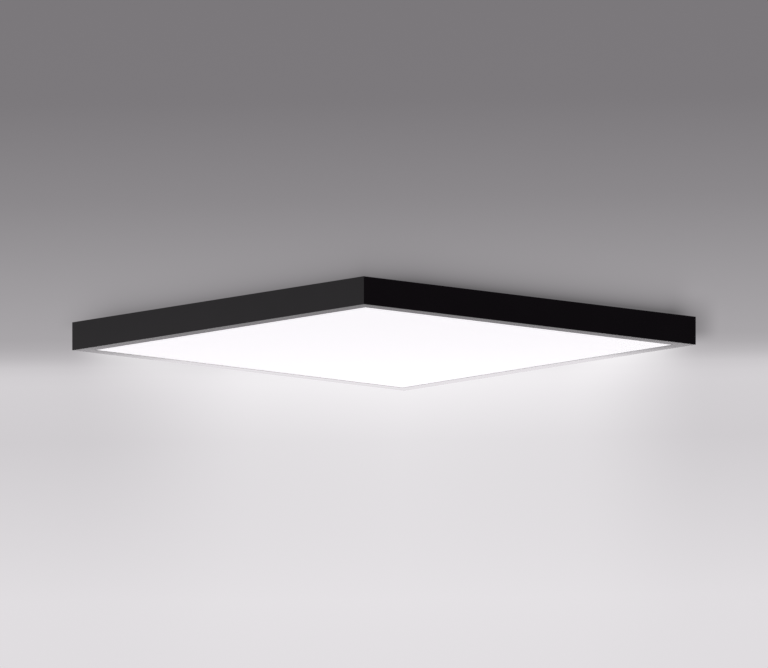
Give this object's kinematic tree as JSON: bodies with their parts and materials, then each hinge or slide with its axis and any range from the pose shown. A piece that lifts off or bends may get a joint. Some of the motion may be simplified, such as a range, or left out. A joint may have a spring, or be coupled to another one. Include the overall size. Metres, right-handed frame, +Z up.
{
  "type": "flush mount ceiling light",
  "caption": "Slim square flush ceiling light: black mitred frame, lit opal diffuser, back plate with driver and terminal box, and a ceiling plate that it snaps onto.",
  "frame": {"origin": "middle of the ceiling plate's upper face, which lies on the ceiling, in the plane of the frame's rim", "axes": "+Z up into the ceiling, X left to right, Y front to rear; the driver is at the rear"},
  "size_m": [0.42, 0.42, 0.027],
  "materials": {
    "black_frame": "satin black powder coat",
    "opal_diffuser": "opal, lit",
    "clear_acrylic": "clear with a printed dot grid",
    "white_film": "matt white",
    "grey_foam": "closed-cell foam",
    "white_circuit": "white solder mask",
    "phosphor": "phosphor in a white cup",
    "grey_board": "stiff board",
    "zinc_sheet": "galvanised",
    "spring_steel": "bright spring steel",
    "zinc_fastener": "bright zinc plate",
    "black_screw": "black oxide",
    "cast_key": "die cast",
    "driver_plastic": "moulded white",
    "green_circuit": "solder mask",
    "ferrite": "ferrite and tape",
    "capacitor_sleeve": "sleeved can",
    "copper_choke": "enamelled copper",
    "box_plastic": "moulded light grey",
    "block_plastic": "moulded white",
    "button_plastic": "moulded orange",
    "contact_brass": "bright",
    "grommet_rubber": "moulded black",
    "brass_screw": "bright",
    "brown_lead": "insulated wire",
    "blue_lead": "insulated wire",
    "green_yellow_lead": "green and yellow insulated wire",
    "white_lead": "insulated wire"
  },
  "bodies": {
    "ceiling_side": {"ceiling_plate": "zinc_sheet", "spring_clips": "spring_steel", "clip_rivets": "zinc_fastener"},
    "light": {"frame_front": "black_frame", "frame_rear": "black_frame", "frame_left": "black_frame", "frame_right": "black_frame", "diffuser_panel": "opal_diffuser", "light_guide_plate": "clear_acrylic", "reflector_sheet": "white_film", "edge_seal": "grey_foam", "led_strip_left": "white_circuit", "led_strip_right": "white_circuit", "led_chips_left": "phosphor", "led_chips_right": "phosphor", "backing_board": "grey_board", "back_plate": "zinc_sheet", "catch_rail_left": "zinc_sheet", "catch_rail_right": "zinc_sheet", "back_plate_screws": "zinc_fastener", "rail_rivets": "zinc_fastener", "driver_screws": "zinc_fastener", "cable_clamp_screws": "zinc_fastener", "terminal_box_screws": "zinc_fastener", "hinge_pin": "zinc_fastener", "earth_tag": "zinc_fastener", "grub_screws": "black_screw", "corner_keys": "cast_key", "driver_base": "driver_plastic", "driver_cover": "driver_plastic", "driver_circuit": "green_circuit", "transformer": "ferrite", "capacitors": "capacitor_sleeve", "choke": "copper_choke", "terminal_base": "box_plastic", "cable_clamp_bar": "box_plastic", "terminal_block": "block_plastic", "contact_clamps": "contact_brass", "cable_grommet": "grommet_rubber", "earth_screw": "brass_screw", "mains_lead_live": "brown_lead", "mains_lead_neutral": "blue_lead", "earth_lead": "green_yellow_lead", "lamp_leads_left": "white_lead", "lamp_leads_right": "white_lead"},
    "lid": {"terminal_lid": "box_plastic"},
    "button_live": {"release_button_live": "button_plastic"},
    "button_neutral": {"release_button_neutral": "button_plastic"},
    "button_earth": {"release_button_earth": "button_plastic"}
  },
  "joints": [
    {"name": "light_drop", "type": "slide", "parent": "ceiling_side", "child": "light", "axis": [0, 0, -1], "range_m": [0, 0.04], "deforming": ["spring_clips"]},
    {"name": "lid_hinge", "type": "hinge", "parent": "light", "child": "lid", "pos_m": [0, -0.0218, -0.0032], "axis": [1, 0, 0], "range_deg": [0, 105]},
    {"name": "press_live", "type": "slide", "parent": "light", "child": "button_live", "axis": [0, 0, -1], "range_m": [0, 0.0015], "stiffness_N_per_m": 500, "springref_m": -0.001},
    {"name": "press_neutral", "type": "slide", "parent": "light", "child": "button_neutral", "axis": [0, 0, -1], "range_m": [0, 0.0015], "stiffness_N_per_m": 500, "springref_m": -0.001},
    {"name": "press_earth", "type": "slide", "parent": "light", "child": "button_earth", "axis": [0, 0, -1], "range_m": [0, 0.0015], "stiffness_N_per_m": 500, "springref_m": -0.001}
  ]
}
